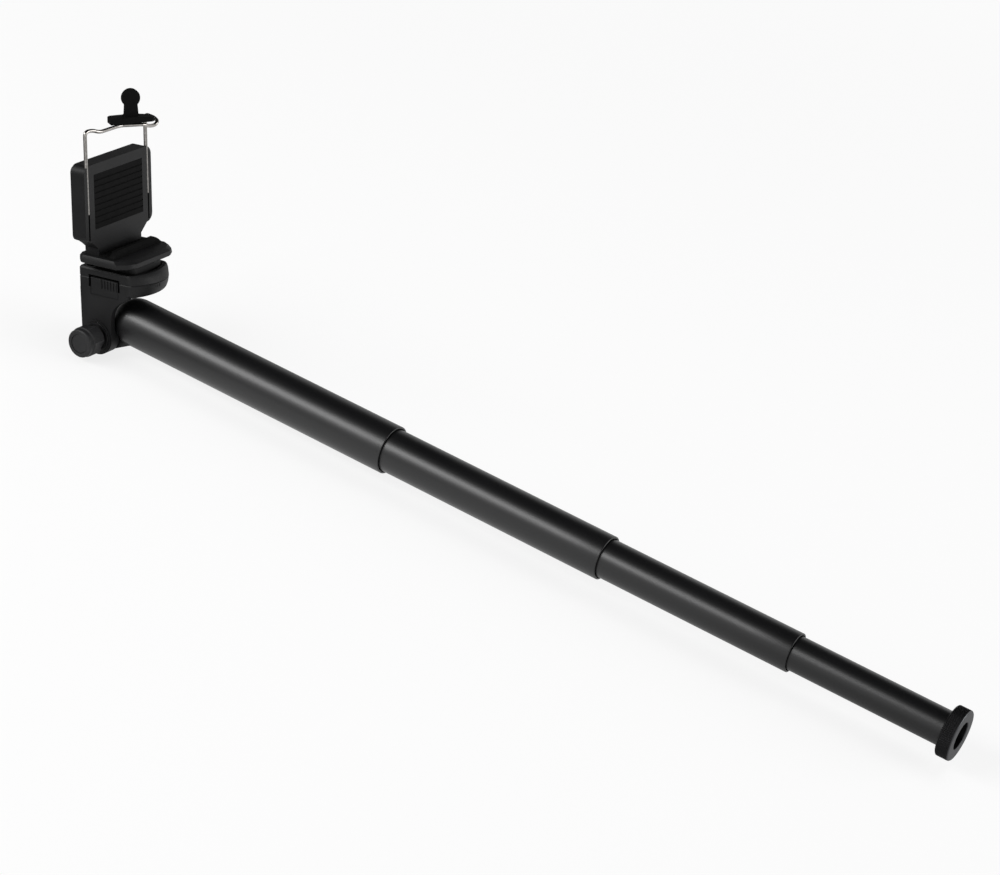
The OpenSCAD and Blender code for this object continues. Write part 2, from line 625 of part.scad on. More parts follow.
// Device clip
module clip_plan(x0, x1, hw, c) {
    b = c * 0.5;
    polygon([[x0, -hw + b], [x0 + b, -hw], [x1 - c, -hw], [x1 - c * 0.35, -hw + c * 0.5], [x1, -hw + c * 1.15],
        [x1, hw - c * 1.15], [x1 - c * 0.35, hw - c * 0.5], [x1 - c, hw], [x0 + b, hw], [x0, hw - b]]);
}
module clip_base() {
    nut_z = base_z1 - 0.2;
    color(moulded) in_head() difference() {
        union() {
            hull() {
                translate([0, 0, base_z0]) linear_extrude(0.01)
                    clip_plan(base_x0 + 0.5, base_x1 - 0.5, base_hw - 0.5, base_cut);
                translate([0, 0, base_z0 + 0.6]) linear_extrude(0.01)
                    clip_plan(base_x0, base_x1, base_hw, base_cut);
                translate([0, 0, base_z1 - 1.6]) linear_extrude(0.01)
                    clip_plan(base_x0, base_x1 - 0.4, base_hw - 0.2, base_cut);
                translate([0, 0, base_z1 - 0.01]) linear_extrude(0.01)
                    clip_plan(base_x0 + 1, base_x1 - 2.6, base_hw - 1.2, base_cut);
            }
            // Front lip that holds the device's lower edge
            translate([device_x1 + 0.1, 0, 0]) rotate([90, 0, 90]) linear_extrude(lip_t)
                polygon([[-lip_hw, base_z1 - 0.5], [lip_hw, base_z1 - 0.5], [lip_hw, base_z1 + 0.8],
                    [lip_hw - 3.2, base_z1 + lip_h - 0.6], [lip_hw - 4.4, base_z1 + lip_h],
                    [-lip_hw + 4.4, base_z1 + lip_h], [-lip_hw + 3.2, base_z1 + lip_h - 0.6],
                    [-lip_hw, base_z1 + 0.8]]);
        }
        translate([screw_x, 0, base_z0 - 1]) cylinder(r = cam_r + 0.3, h = base_t + 3);
        translate([screw_x, 0, base_z0 + 0.8]) cylinder(r = 5.5 / cos(30) + press, h = base_t + 3, $fn = 6);
        // Slope on top of the lip
        translate([device_x1 + 0.1 + lip_t, -lip_hw - 1, base_z1 + lip_h - 1.8]) rotate([0, -35, 0])
            cube([3, 2 * lip_hw + 2, 6]);
        // Tongue slot of the back
        translate([back_x - back_t + 2.6, -12, base_z1 - 2]) cube([back_t - 5.2, 24, 3]);
    }
}
module clip_nut() {
    color(steel) in_head() translate([screw_x, 0, 0]) difference() {
        translate([0, 0, base_z0 + 0.8]) cylinder(r = 5.5 / cos(30), h = base_t - 0.8, $fn = 6);
        translate([0, 0, base_z0]) cylinder(r = cam_r + run_gap, h = base_t + 1);
    }
}
module clip_pad() {
    color(rubber) in_head() difference() {
        rounded_plate(device_x0, device_x1 - 0.1, lip_hw - 1, 1, base_z1, pad_z);
        for (i = [-6:6]) translate([device_x0 - 1, i * 3 - 0.4, pad_z - 0.25]) cube([device_t + 2, 0.8, 1]);
    }
}
// Outline of the back seen from the front: a broad head on a narrower foot
module back2d(in) {
    hw = leg_y + 3.2 - in;
    fw = base_hw - 5 - in;
    z0 = base_z1 + in;
    z1 = back_z - in;
    r = 5 - in;
    polygon(concat([[-fw, z0], [fw, z0], [fw, z0 + 4 - in]],
        [for (i = [0:6]) let (a = -90 + 15 * i) [hw - r + r * cos(a), z0 + 9 + r - in + r * sin(a)]],
        [for (i = [0:6]) let (a = 15 * i) [hw - r + r * cos(a), z1 - r + r * sin(a)]],
        [for (i = [0:6]) let (a = 90 + 15 * i) [-hw + r + r * cos(a), z1 - r + r * sin(a)]],
        [for (i = [0:6]) let (a = 180 + 15 * i) [-hw + r + r * cos(a), z0 + 9 + r - in + r * sin(a)]],
        [[-fw, z0 + 4 - in]]));
}
pad_z0 = base_z1 + pad_low;
pad_z1 = back_z - pad_top;
module clip_back() {
    x0 = back_x - back_t;
    color(moulded) in_head() difference() {
        union() {
            translate([x0 + 1.2, 0, 0]) rotate([90, 0, 90]) linear_extrude(back_t - 1.2) back2d(0);
            translate([x0, 0, 0]) rotate([90, 0, 90]) linear_extrude(1.3) back2d(1.2);
            translate([x0 + 2.7, -11.9, base_z1 - 1.9]) cube([back_t - 5.4, 23.8, 3]);
        }
        // Guides of the wire legs, open to the front by a narrow slit
        for (s = [-1, 1]) translate([leg_x, s * leg_y, base_z1 + guide_low])
            cylinder(r = wire_r + run_gap, h = back_h, $fn = 40);
        // Seats of the front pad and of the rear cover
        translate([back_x - 1.5, -leg_y + pad_side, pad_z0])
            cube([3, leg_span - 2 * pad_side, pad_z1 - pad_z0]);
        translate([x0 - 1, -cover_y, cover_z0]) cube([cover_t + 1, 2 * cover_y, cover_z1 - cover_z0]);
        for (p = cover_screw_at) translate([x0, p[0], p[1]])
            along_x() cylinder(r = 1 + press, h = cover_screw_l + 1, $fn = 24);
    }
}
module back_pad() {
    color(rubber) in_head() difference() {
        translate([back_x - 1.5, -leg_y + pad_side + press, pad_z0 + press])
            cube([1.55, leg_span - 2 * pad_side - 2 * press, pad_z1 - pad_z0 - 2 * press]);
        for (i = [1:8]) translate([back_x - 0.4, -leg_y, pad_z0 + i * (pad_z1 - pad_z0) / 9 - 0.4])
            cube([2, leg_span, 0.8]);
    }
}
module clip_cover() {
    x0 = back_x - back_t;
    color(moulded * 1.2) in_head() difference() {
        translate([x0, -cover_y + 0.1, cover_z0 + 0.1])
            cube([cover_t, 2 * cover_y - 0.2, cover_z1 - cover_z0 - 0.2]);
        for (p = cover_screw_at) translate([x0 - 1, p[0], p[1]])
            along_x() {
                cylinder(r = 1 + press, h = 4, $fn = 24);
                cylinder(r = 1.9, h = 1.8, $fn = 32);
            }
        translate([x0 - 1, -cover_y + cover_recess, cover_z0 + cover_recess])
            cube([1.4, 2 * (cover_y - cover_recess), cover_z1 - cover_z0 - 2 * cover_recess]);
    }
}
module cover_screws() {
    x0 = back_x - back_t;
    color(steel) in_head() for (p = cover_screw_at)
        translate([x0 + 0.1, p[0], p[1]]) difference() {
            along_x() union() {
                cylinder(r = 1.85, h = 0.7, $fn = 32);
                cylinder(r = 1, h = cover_screw_l, $fn = 24);
            }
            translate([-0.5, -1.2, -0.25]) cube([0.8, 2.4, 0.5]);
            translate([-0.5, -0.25, -1.2]) cube([0.8, 0.5, 2.4]);
        }
}

// Bail: one bent wire. Corners of its path, then rounded corners, then a swept tube
top_z = device_z + 0.1 + wire_r;
hook_x = device_x1 + 0.1 + wire_r;
bail_corners = [[leg_x, -leg_y, leg_z0], [leg_x, -leg_y, top_z + 2.6], [leg_x + 0.5, -leg_y + 5.6, top_z + 2.5],
    [leg_x + 2.1, -leg_y + 10.2, top_z + 0.7], [leg_x + 2.4, 1.4, top_z + 0.7], [hook_x - 0.5, 12, top_z + 0.3],
    [hook_x, 16, top_z - 1.4], [hook_x, leg_y - 4.2, top_z - 2.2], [hook_x, leg_y - 0.8, top_z - 0.2],
    [hook_x - 3.4, leg_y, top_z + 1.3], [leg_x, leg_y, top_z + 2.2], [leg_x, leg_y, leg_z0]];
function unit(v) = v / norm(v);
function bend(p, i, n = 5) =
    let (a = p[i - 1], b = p[i], c = p[i + 1], t = min(2.6, norm(a - b) * 0.45, norm(c - b) * 0.45),
        s = b + t * unit(a - b), e = b + t * unit(c - b))
    [for (k = [0:n]) let (u = k / n) (1 - u) * (1 - u) * s + 2 * u * (1 - u) * b + u * u * e];
bail_path = concat([bail_corners[0]],
    [for (i = [1:len(bail_corners) - 2]) each bend(bail_corners, i)], [bail_corners[len(bail_corners) - 1]]);
function tangent(p, i) = i == 0 ? unit(p[1] - p[0]) : i == len(p) - 1 ? unit(p[i] - p[i - 1])
    : unit(unit(p[i] - p[i - 1]) + unit(p[i + 1] - p[i]));
function flat(n, t) = unit(n - (n * t) * t);
module sweep(p, r, sides) {
    normals = [for (i = 0, n = flat([1, 0.2, 0], tangent(p, 0)); i < len(p);
        i = i + 1, n = i < len(p) ? flat(n, tangent(p, i)) : n) n];
    pts = [for (i = [0:len(p) - 1]) let (t = tangent(p, i), n = normals[i], b = cross(t, n))
        for (k = [0:sides - 1]) let (a = 360 * k / sides) p[i] + r * (cos(a) * n + sin(a) * b)];
    faces = concat([[for (k = [sides - 1:-1:0]) k]],
        [for (i = [0:len(p) - 2]) for (k = [0:sides - 1]) each
            [[i * sides + k, i * sides + (k + 1) % sides, (i + 1) * sides + (k + 1) % sides],
             [i * sides + k, (i + 1) * sides + (k + 1) % sides, (i + 1) * sides + k]]],
        [[for (k = [0:sides - 1]) (len(p) - 1) * sides + k]]);
    polyhedron(pts, [for (f = faces) [for (j = [len(f) - 1:-1:0]) f[j]]]);
}
module bail_wire() { color(chrome) in_head() sweep(bail_path, wire_r, 12); }

jaw_z = top_z + 0.7 + wire_r + 0.05;
jaw_at = [leg_x + 5, 8];
module on_jaw() { in_head() translate([jaw_at[0], jaw_at[1], jaw_z]) rotate([0, 0, -jaw_turn]) children(); }
module jaw_block() {
    color(rubber) on_jaw() difference() {
        translate([jaw_w / 2, 0, 0]) rotate([0, -90, 0]) linear_extrude(jaw_w)
            polygon([[0, -jaw_l / 2], [jaw_h, -jaw_l / 2], [jaw_h, -4], [jaw_h * 0.95, 4],
                [jaw_h * 0.6, jaw_l / 2], [0, jaw_l / 2]]);
        for (s = [-1, 1]) translate([s * jaw_w / 2, s * jaw_l / 2, -1]) rotate([0, 0, 45])
            cube([2.4, 2.4, 2 * jaw_h + 4], center = true);
        // Slot that holds the tab's foot
        translate([-tab_t / 2, -tab_w / 2, 1]) cube([tab_t, tab_w, jaw_h]);
    }
}
module pull_tab() {
    color(rubber * 1.2) on_jaw() translate([tab_t / 2, 0, 0]) rotate([0, -90, 0])
        linear_extrude(tab_t) union() {
            translate([1.05, -tab_w / 2 + press]) square([jaw_h, tab_w - 2 * press]);
            translate([jaw_h, -tab_w / 2 + 0.4]) square([2, tab_w - 0.8]);
            polygon([[jaw_h, -tab_w / 2 + 0.4], [jaw_h + 2, -tab_w / 2 + 0.4],
                [jaw_h + tab_h - 3, -tab_w / 2 + 0.8], [jaw_h + tab_h - 3, tab_w / 2 - 0.8],
                [jaw_h + 2, tab_w / 2 - 0.4], [jaw_h, tab_w / 2 - 0.4]]);
            translate([jaw_h + tab_h - 3.2, -tab_w / 2 + 0.8]) square([3.2, tab_w - 1.6]);
            translate([jaw_h + tab_h, 0]) circle(tab_r);
        }
}

neck();
tube_1();
tilt_nut();
collet_2();
plug_2();
tube_2();
collet_3();
plug_3();
tube_3();
collet_4();
plug_4();
tube_4();
foot_ring();
head_body();
platform_top();
platform_screws();
lever_pin();
tilt_washer();
knob_washer();
knob();
knob_cap();
clamp_screw();
release_lever();
shoe();
shoe_pad();
camera_screw();
clip_base();
clip_nut();
clip_pad();
clip_back();
back_pad();
clip_cover();
cover_screws();
bail_wire();
jaw_block();
pull_tab();
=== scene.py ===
import json
import math

import bmesh
import bpy
from mathutils import Matrix, Vector


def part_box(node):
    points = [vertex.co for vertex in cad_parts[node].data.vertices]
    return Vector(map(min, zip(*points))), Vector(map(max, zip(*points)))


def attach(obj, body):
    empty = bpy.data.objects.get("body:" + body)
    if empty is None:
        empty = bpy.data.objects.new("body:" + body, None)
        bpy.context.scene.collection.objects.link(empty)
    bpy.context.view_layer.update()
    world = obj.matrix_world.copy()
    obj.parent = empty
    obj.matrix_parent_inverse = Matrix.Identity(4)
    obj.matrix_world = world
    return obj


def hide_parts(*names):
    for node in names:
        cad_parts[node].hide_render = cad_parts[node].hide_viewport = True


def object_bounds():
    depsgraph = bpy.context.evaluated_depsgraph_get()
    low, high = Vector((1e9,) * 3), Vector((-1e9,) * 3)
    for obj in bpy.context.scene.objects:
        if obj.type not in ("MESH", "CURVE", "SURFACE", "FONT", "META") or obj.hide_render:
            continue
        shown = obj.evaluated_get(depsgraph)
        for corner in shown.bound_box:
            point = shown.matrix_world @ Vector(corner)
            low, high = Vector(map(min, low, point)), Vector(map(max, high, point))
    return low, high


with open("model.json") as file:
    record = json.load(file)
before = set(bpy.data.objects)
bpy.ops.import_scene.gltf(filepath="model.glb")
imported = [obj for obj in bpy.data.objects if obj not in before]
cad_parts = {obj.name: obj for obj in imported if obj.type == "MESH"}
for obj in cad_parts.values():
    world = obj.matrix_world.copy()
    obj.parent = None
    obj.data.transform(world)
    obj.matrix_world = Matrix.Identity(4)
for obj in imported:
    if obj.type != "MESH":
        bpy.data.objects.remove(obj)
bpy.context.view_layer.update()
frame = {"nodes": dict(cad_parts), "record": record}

MM = 0.001
NODES = frame["nodes"]
BODY_OF = {node: body for body, nodes in frame["record"]["behaviour"]["bodies"].items() for node in nodes}
SLOT_OF = {part["node"]: part["material_slot"] for part in frame["record"]["subparts"]}


# Colours and nodes
def srgb(code):
    """An sRGB hex value as linear red, green and blue with full alpha."""
    parts = [int(code[i:i + 2], 16) / 255 for i in (1, 3, 5)]
    return [c / 12.92 if c <= 0.04045 else ((c + 0.055) / 1.055) ** 2.4 for c in parts] + [1.0]


def add(tree, kind, inputs=None, stops=(), **attributes):
    """Adds a node. An input takes a number, a colour, another node or one of a node's sockets, and
    stops are the places and colours of a colour ramp."""
    node = tree.nodes.new(kind)
    for name, value in attributes.items():
        setattr(node, name, value)
    for socket, value in (inputs or {}).items():
        if isinstance(value, bpy.types.Node):
            value = value.outputs[0]
        if isinstance(value, bpy.types.NodeSocket):
            tree.links.new(value, node.inputs[socket])
        else:
            node.inputs[socket].default_value = value
    if stops:
        points = node.color_ramp.elements
        while len(points) < len(stops):
            points.new(0.5)
        for point, (place, code) in zip(points, stops):
            point.position, point.color = place, srgb(code)
    return node


def emptied(tree):
    """A node tree without the nodes that it came with."""
    tree.nodes.clear()
    return tree


def new_material(name):
    """A material with an empty node tree, and the object's own coordinates in metres."""
    mat = bpy.data.materials.new(name)
    mat.use_nodes = True
    tree = emptied(mat.node_tree)
    return mat, tree, add(tree, "ShaderNodeTexCoord").outputs["Object"]


def surface(tree, inputs):
    """Ends a finish with its shader and the material's output."""
    shader = add(tree, "ShaderNodeBsdfPrincipled", inputs)
    add(tree, "ShaderNodeOutputMaterial", {"Surface": shader})


def per_mm(size_mm):
    """Texture scale for a pattern whose repeat is size_mm, in a scene of metres."""
    return 1000.0 / size_mm


# Finishes
def black_anodised_aluminium():
    """Drawn tube, bead-blasted and anodised black: a dark skin with a broad, soft highlight.
    The faint lengthwise lines of the drawing die are about 0.5 mm apart."""
    mat, tree, coords = new_material("black_anodised_aluminium")
    drawn = add(tree, "ShaderNodeMapping", {"Vector": coords, "Scale": (8, per_mm(0.5), per_mm(0.5))})
    lines = add(tree, "ShaderNodeTexNoise", {"Vector": drawn, "Scale": 1.0, "Detail": 2.0})
    grit = add(tree, "ShaderNodeTexNoise", {"Vector": coords, "Scale": per_mm(0.35), "Detail": 3.0})
    cloud = add(tree, "ShaderNodeTexNoise", {"Vector": coords, "Scale": per_mm(60), "Detail": 2.0})
    dye = add(tree, "ShaderNodeValToRGB", {"Fac": cloud}, ((0.3, "#0A0A0B"), (0.7, "#0F0F10")))
    sheen = add(tree, "ShaderNodeMapRange", {"Value": lines, "To Min": 0.33, "To Max": 0.41})
    blasted = add(tree, "ShaderNodeBump", {"Height": grit, "Strength": 0.06, "Distance": 0.00003})
    relief = add(tree, "ShaderNodeBump",
                 {"Height": lines, "Normal": blasted, "Strength": 0.08, "Distance": 0.00003})
    surface(tree, {"Base Color": dye, "Roughness": sheen, "Normal": relief, "IOR": 1.54})
    return mat


def turned_anodised_ring():
    """Turned aluminium, anodised dark, with fine turning rings 0.25 mm apart on the flat face. The face's
    colour is painted lighter, a painted sheen, and the knurled rim's colour is painted darker, a painted
    shade for the light its teeth break up."""
    mat, tree, coords = new_material("turned_anodised_ring")
    across = add(tree, "ShaderNodeVectorMath", {0: coords, 1: (0, 1, 1)}, operation="MULTIPLY")
    radius = add(tree, "ShaderNodeVectorMath", {0: across}, operation="LENGTH").outputs["Value"]
    turns = add(tree, "ShaderNodeMath", {0: radius, 1: per_mm(0.25)}, operation="MULTIPLY")
    line = add(tree, "ShaderNodeTexNoise", {"W": turns, "Scale": 1.0, "Detail": 2.0}, noise_dimensions="1D")
    # Painted sheen: the flat face's colour is lighter than the anodising
    face = add(tree, "ShaderNodeValToRGB", {"Fac": line}, ((0.3, "#47484A"), (0.7, "#545557")))
    grit = add(tree, "ShaderNodeTexNoise", {"Vector": coords, "Scale": per_mm(0.5), "Detail": 3.0})
    # Painted shade: the knurled rim's colour is darker than the anodising
    rim = add(tree, "ShaderNodeValToRGB", {"Fac": grit}, ((0.3, "#161617"), (0.7, "#1E1E1F")))
    # The face ends where the rim's edge is broken, 0.3 to 0.6 mm behind the front
    depth = add(tree, "ShaderNodeSeparateXYZ", {"Vector": coords}).outputs["X"]
    front = add(tree, "ShaderNodeMapRange", {"Value": depth, "From Min": -0.0006, "From Max": -0.0003})
    coat_with_painted_light = add(tree, "ShaderNodeMix", {0: front, 6: rim, 7: face}, data_type="RGBA").outputs[2]
    relief = add(tree, "ShaderNodeBump", {"Height": line, "Strength": 0.12, "Distance": 0.00004})
    surface(tree, {"Base Color": coat_with_painted_light, "Normal": relief, "Metallic": 0.8, "Roughness": 0.4})
    return mat


def moulded_nylon(name, dark, light, smoothest, roughest, grain_mm=0.3):
    """Glass-filled nylon from a spark-eroded mould: matt black, with a fine even grain that greys
    the highlights."""
    mat, tree, coords = new_material(name)
    pits = add(tree, "ShaderNodeTexVoronoi", {"Vector": coords, "Scale": per_mm(grain_mm)})
    fine = add(tree, "ShaderNodeTexNoise", {"Vector": coords, "Scale": per_mm(grain_mm * 0.6), "Detail": 4.0})
    cloud = add(tree, "ShaderNodeTexNoise", {"Vector": coords, "Scale": per_mm(14), "Detail": 3.0})
    grain = add(tree, "ShaderNodeMath", {0: pits, 1: fine}, operation="ADD")
    black = add(tree, "ShaderNodeValToRGB", {"Fac": cloud}, ((0.35, dark), (0.65, light)))
    sheen = add(tree, "ShaderNodeMapRange", {"Value": fine, "To Min": smoothest, "To Max": roughest})
    relief = add(tree, "ShaderNodeBump", {"Height": grain, "Strength": 0.35, "Distance": 0.00004})
    surface(tree, {"Base Color": black, "Roughness": sheen, "Normal": relief, "IOR": 1.46,
                   "Specular IOR Level": 0.34})
    return mat


def soft_rubber():
    """Injection-moulded rubber: deep matt black with a dusty bloom."""
    mat, tree, coords = new_material("soft_black_rubber")
    bloom = add(tree, "ShaderNodeTexNoise", {"Vector": coords, "Scale": per_mm(5), "Detail": 5.0})
    grit = add(tree, "ShaderNodeTexNoise", {"Vector": coords, "Scale": per_mm(0.25), "Detail": 3.0})
    black = add(tree, "ShaderNodeValToRGB", {"Fac": bloom}, ((0.35, "#060606"), (0.7, "#0A0A0A")))
    relief = add(tree, "ShaderNodeBump", {"Height": grit, "Strength": 0.4, "Distance": 0.00005})
    surface(tree, {"Base Color": black, "Normal": relief, "Roughness": 0.75, "IOR": 1.4,
                   "Specular IOR Level": 0.15})
    return mat


def bright_plated_wire():
    """Spring wire plated with nickel: bright and warm grey, with small scuffs."""
    mat, tree, coords = new_material("bright_plated_wire")
    scuff = add(tree, "ShaderNodeTexNoise", {"Vector": coords, "Scale": per_mm(1.4), "Detail": 5.0})
    nickel = add(tree, "ShaderNodeValToRGB", {"Fac": scuff}, ((0.3, "#9C9894"), (0.7, "#BBB8B4")))
    sheen = add(tree, "ShaderNodeMapRange", {"Value": scuff, "To Min": 0.1, "To Max": 0.24})
    surface(tree, {"Base Color": nickel, "Roughness": sheen, "Metallic": 1.0})
    return mat


def zinc_plated_steel():
    """Turned screws, pins and nuts, plated with zinc: grey, with 0.3 mm tool marks."""
    mat, tree, coords = new_material("zinc_plated_steel")
    marks = add(tree, "ShaderNodeTexNoise", {"Vector": coords, "Scale": per_mm(0.3), "Detail": 3.0})
    zinc = add(tree, "ShaderNodeValToRGB", {"Fac": marks}, ((0.3, "#8E8F90"), (0.7, "#B4B5B4")))
    relief = add(tree, "ShaderNodeBump", {"Height": marks, "Strength": 0.2, "Distance": 0.00003})
    surface(tree, {"Base Color": zinc, "Normal": relief, "Metallic": 1.0, "Roughness": 0.34})
    return mat


def natural_acetal():
    """Collets and plugs turned from natural acetal: off-white and waxy."""
    mat, tree, coords = new_material("natural_acetal")
    cloud = add(tree, "ShaderNodeTexNoise", {"Vector": coords, "Scale": per_mm(4), "Detail": 3.0})
    milk = add(tree, "ShaderNodeValToRGB", {"Fac": cloud}, ((0.3, "#CFCDC4"), (0.7, "#DDDBD3")))
    relief = add(tree, "ShaderNodeBump", {"Height": cloud, "Strength": 0.1, "Distance": 0.00005})
    surface(tree, {"Base Color": milk, "Normal": relief, "Roughness": 0.42, "IOR": 1.48})
    return mat


MATERIALS = {
    "anodised": black_anodised_aluminium(),
    "ring": turned_anodised_ring(),
    "moulded": moulded_nylon("black_moulded_nylon", "#0B0B0C", "#101011", 0.48, 0.6),
    # The knob's nylon is painted lighter than the rest: painted light for the light that falls on its lobes
    "knob": moulded_nylon("knob_nylon_with_painted_light", "#1E1E1F", "#252526", 0.46, 0.58, 0.4),
    "rubber": soft_rubber(),
    "wire": bright_plated_wire(),
    "steel": zinc_plated_steel(),
    "collet": natural_acetal(),
}


def finish_with(obj, slot):
    """Gives an object the one finish of its slot."""
    obj.data.materials.clear()
    obj.data.materials.append(MATERIALS[slot])


# Mesh tools
def shade_up_to(mesh, angle):
    """Smooth shading, with a crease wherever two faces meet at more than angle degrees."""
    mesh.shade_smooth()
    mesh.set_sharp_from_angle(angle=math.radians(angle))


def placed(name, bm):
    """Turns a bmesh into an object in the scene and frees it."""
    mesh = bpy.data.meshes.new(name)
    bm.to_mesh(mesh)
    bm.free()
    obj = bpy.data.objects.new(name, mesh)
    bpy.context.scene.collection.objects.link(obj)
    return obj


def to_piece(name, bm, node=None, slot=None, crease=35):
    """Turns a bmesh into a piece that rides on its node's body and stands for the node."""
    bmesh.ops.recalc_face_normals(bm, faces=bm.faces)
    obj = placed(name, bm)
    shade_up_to(obj.data, crease)
    if node:
        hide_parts(node)
        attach(obj, BODY_OF[node])
        slot = slot or SLOT_OF[node]
    finish_with(obj, slot)
    return obj


def apply_modifiers(obj):
    """Turns what an object's modifiers make of its mesh into the mesh itself."""
    graph = bpy.context.evaluated_depsgraph_get()
    mesh = bpy.data.meshes.new_from_object(obj.evaluated_get(graph))
    old = obj.data
    obj.modifiers.clear()
    obj.data = mesh
    bpy.data.meshes.remove(old)


def skin(bm, rings, closed=False):
    """Joins each ring of points to the next. The last joins the first, or else both ends are capped."""
    loops = [[bm.verts.new(point) for point in ring] for ring in rings]
    after = loops[1:] + loops[:1] if closed else loops[1:]
    for a, b in zip(loops, after):
        for k in range(len(a)):
            m = (k + 1) % len(a)
            bm.faces.new((a[k], a[m], b[m], b[k]))
    if not closed:
        bm.faces.new(loops[0])
        bm.faces.new(list(reversed(loops[-1])))


def turn(count):
    """The angles of count equal steps round a circle."""
    return [2 * math.pi * k / count for k in range(count)]


def arc(x, radius, bend, start, stop, steps=5):
    """Points of (x, radius) on a bend about a centre, from start to stop degrees."""
    angles = [math.radians(start + (stop - start) * i / steps) for i in range(steps + 1)]
    return [(x + bend * math.cos(a), radius + bend * math.sin(a)) for a in angles]


SAME_POINT, SAME_PLANE, LARGE_ROUND, EVEN_CREASE = 2e-6, math.radians(1), 1.2 * MM, 50


def soft_edged(node, width, slot=None, sharp=None, rounder=None, shaped=None, angle=32):
    """A copy of a CAD node's solid with its edges rounded by width millimetres. The tests look at
    an edge's middle: what sharp picks stays as it is, and what rounder picks gets a larger round."""
    bm = bmesh.new()
    bm.from_mesh(NODES[node].data)
    bmesh.ops.remove_doubles(bm, verts=bm.verts, dist=SAME_POINT)
    if shaped:
        shaped(bm)
    bmesh.ops.dissolve_limit(bm, angle_limit=SAME_PLANE, verts=bm.verts, edges=bm.edges)
    if rounder:
        picked = [e for e in bm.edges if rounder((e.verts[0].co + e.verts[1].co) / 2)]
        bmesh.ops.bevel(bm, geom=picked, offset=LARGE_ROUND, segments=5, profile=0.5, affect="EDGES")
    weight = bm.edges.layers.float.new("bevel_weight_edge")
    for edge in bm.edges:
        middle = (edge.verts[0].co + edge.verts[1].co) / 2
        if len(edge.link_faces) == 2 and edge.calc_face_angle(0) > math.radians(angle):
            if not (sharp and sharp(middle)):
                edge[weight] = 1.0
    obj = to_piece(node + "_soft", bm, node, slot, angle)
    bevel = obj.modifiers.new("edges", "BEVEL")
    bevel.width = width * MM
    bevel.segments = 3
    bevel.limit_method = "WEIGHT"
    bevel.miter_outer = "MITER_ARC"
    bevel.use_clamp_overlap = True
    apply_modifiers(obj)
    shade_up_to(obj.data, EVEN_CREASE)
    even = obj.modifiers.new("even_shading", "WEIGHTED_NORMAL")
    even.keep_sharp = True
    apply_modifiers(obj)
    return obj


# Tubes and foot ring, as profiles of (x, radius) in millimetres turned about the tubes' axis
TUBES = {"tube_1": 14.0, "tube_2": 12.5, "tube_3": 11.0, "tube_4": 9.5}
WALL, STEP, LIP_DEPTH, LIP_LENGTH, LIP_GAP, MOUTH_ROUND = 1.0, 1.5, 1.5, 4.0, 0.06, 0.42
BORE_BREAK, LIP_SLOPE = 0.12, 0.4


def drawn_tube(tube, outer):
    """A tube with a rounded mouth and a lip in it that guides the next tube."""
    low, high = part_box(tube)
    back, mouth = low[0] / MM, high[0] / MM
    inner = outer - WALL
    profile = [(back, inner), (back, outer)]
    profile += [(back + (mouth - back) * share, outer) for share in (0.2, 0.4, 0.6, 0.8)]
    if tube == "tube_4":
        profile += [(mouth, outer), (mouth, inner)]
    else:
        lip, lip_front = outer - STEP + LIP_GAP, mouth - LIP_DEPTH
        profile += arc(mouth - MOUTH_ROUND, outer - MOUTH_ROUND, MOUTH_ROUND, 90, 0)
        profile += [(mouth, inner + BORE_BREAK), (mouth - BORE_BREAK, inner), (lip_front, inner),
                    (lip_front, lip), (lip_front - LIP_LENGTH, lip),
                    (lip_front - LIP_LENGTH - LIP_SLOPE, inner)]
    bm = bmesh.new()
    skin(bm, [[(x * MM, r * MM * math.sin(a), r * MM * math.cos(a)) for a in turn(192)]
              for x, r in profile], closed=True)
    to_piece(tube + "_drawn", bm, tube)


def knurled_ring():
    """Foot ring: a turned ring whose rim is cut with a diamond knurl of 1.1 mm pitch."""
    radius, thick, hole, spigot, spigot_r, chamfer = 14.0, 7.5, 7.6, 14.0, 8.48, 0.45
    teeth, tooth_depth, per_tooth, rows, run_out = 80, 0.3, 8, 44, 3
    # Grooves run both ways round the rim, and the diamonds between them keep flat tops
    steepness, flat_top, end_drop = 1.35, 0.35, 0.12
    around = teeth * per_tooth
    pitch = 2 * math.pi * radius / teeth

    def ring_at(x, r, knurl=0.0):
        points = []
        for k, a in enumerate(turn(around)):
            groove = max(abs((k / per_tooth + way * x / pitch) % 1.0 - 0.5) * 2 for way in (1, -1))
            rr = r - knurl * max(0.0, groove * steepness - flat_top)
            points.append((x * MM, rr * MM * math.sin(a), rr * MM * math.cos(a)))
        return points

    shoulder = radius - chamfer
    rings = [ring_at(x, r) for x, r in
             ((-thick - spigot, hole), (-thick - spigot, spigot_r - 0.08), (-thick - spigot + 0.1, spigot_r),
              (-thick, spigot_r), (-thick, shoulder - 0.35), (-thick + 0.05, shoulder - 0.1))]
    for i in range(rows + 1):
        x = -thick + chamfer + (thick - 2 * chamfer) * i / rows
        edge = min(i, rows - i)
        rings.append(ring_at(x, radius - (0 if edge else end_drop), tooth_depth * min(1.0, edge / run_out)))
    front = [(-0.1, shoulder + 0.05), (-0.03, shoulder - 0.06), (0, shoulder - 0.2)]
    front += [(0, r) for r in (12.0, 11.0, 10.0, 9.0)] + arc(-0.35, hole + 0.35, 0.35, 0, -90, 4)
    rings += [ring_at(x, r) for x, r in front]
    bm = bmesh.new()
    skin(bm, rings, closed=True)
    to_piece("foot_ring_knurled", bm, "foot_ring", crease=50)


for tube, outer in TUBES.items():
    drawn_tube(tube, outer)
knurled_ring()

